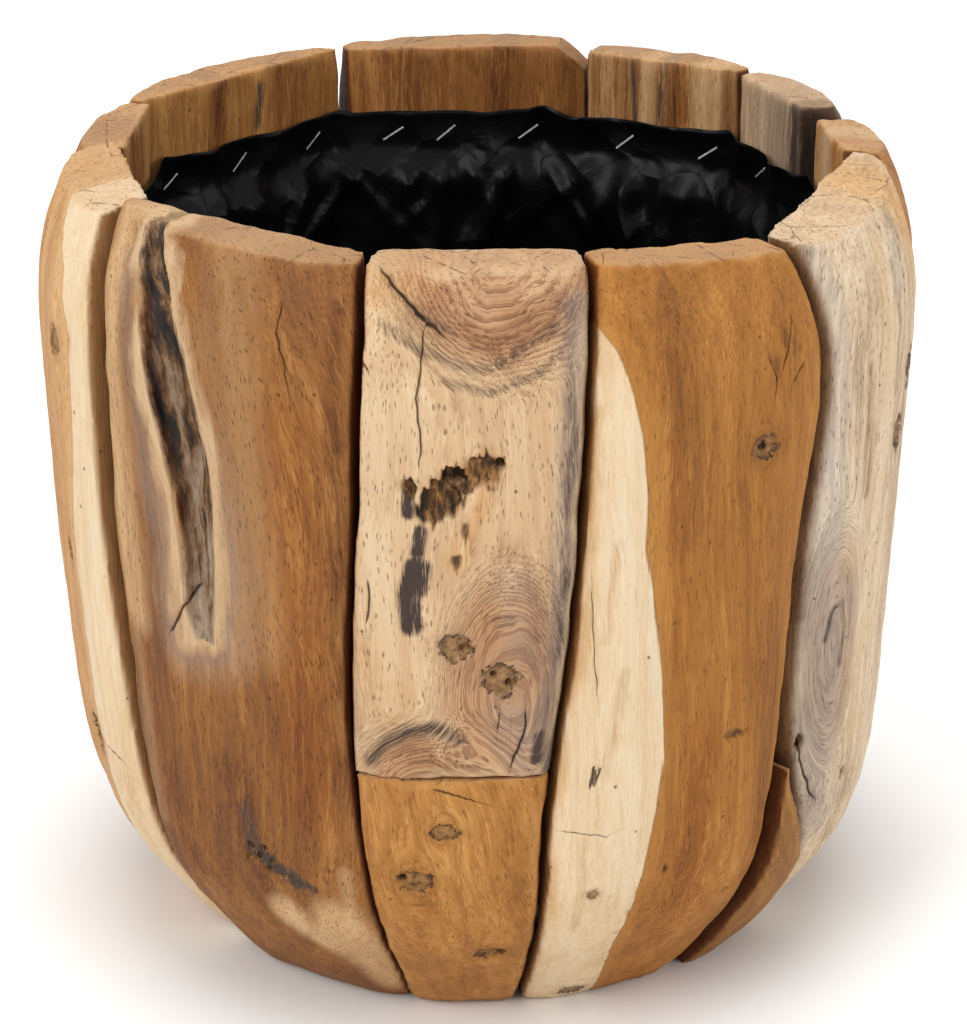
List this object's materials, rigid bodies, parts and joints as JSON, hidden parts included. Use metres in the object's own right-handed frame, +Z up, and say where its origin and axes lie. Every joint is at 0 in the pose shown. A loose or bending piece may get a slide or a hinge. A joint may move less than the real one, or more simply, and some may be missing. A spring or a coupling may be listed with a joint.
{
  "type": "planter",
  "caption": "Round barrel-shaped floor planter of thick, irregular weathered hardwood staves with open joints, lined inside with black film.",
  "frame": {"origin": "on the floor, at the middle of the ring of staves", "axes": "+Z up, -Y to the front with the pieced stave, +X to the right as seen from the front"},
  "size_m": [0.4001, 0.4035, 0.3704],
  "materials": {
    "brown_wood": "brown heartwood, sanded and unfinished",
    "pale_wood": "pale sapwood with dark knots, sanded and unfinished",
    "grey_wood": "weathered grey and cream wood",
    "tan_wood": "tan wood with brown grain",
    "base_wood": "plain sawn boards",
    "dowel_wood": "plain turned wood",
    "hoop_steel": "flat steel bar",
    "screw_steel": "zinc plated",
    "black_film": "satin black film",
    "staple_steel": "bright wire"
  },
  "bodies": {
    "root": {"stave_front": "pale_wood", "stave_front_foot": "brown_wood", "stave_front_right": "brown_wood", "stave_right_front": "grey_wood", "filler_right": "brown_wood", "stave_right": "tan_wood", "stave_right_back": "grey_wood", "stave_back_right": "tan_wood", "stave_back": "brown_wood", "stave_back_left": "brown_wood", "stave_left_back": "tan_wood", "stave_left": "pale_wood", "stave_front_left": "brown_wood", "front_stave_dowels": "dowel_wood", "filler_dowel": "dowel_wood", "base_board_left": "base_wood", "base_board_middle": "base_wood", "base_board_right": "base_wood", "base_cleat_front": "base_wood", "base_cleat_back": "base_wood", "base_cleat_screws": "screw_steel", "lower_hoop": "hoop_steel", "upper_hoop": "hoop_steel", "lower_hoop_screws": "screw_steel", "upper_hoop_screws": "screw_steel", "liner": "black_film", "liner_staples": "staple_steel"}
  },
  "joints": []
}
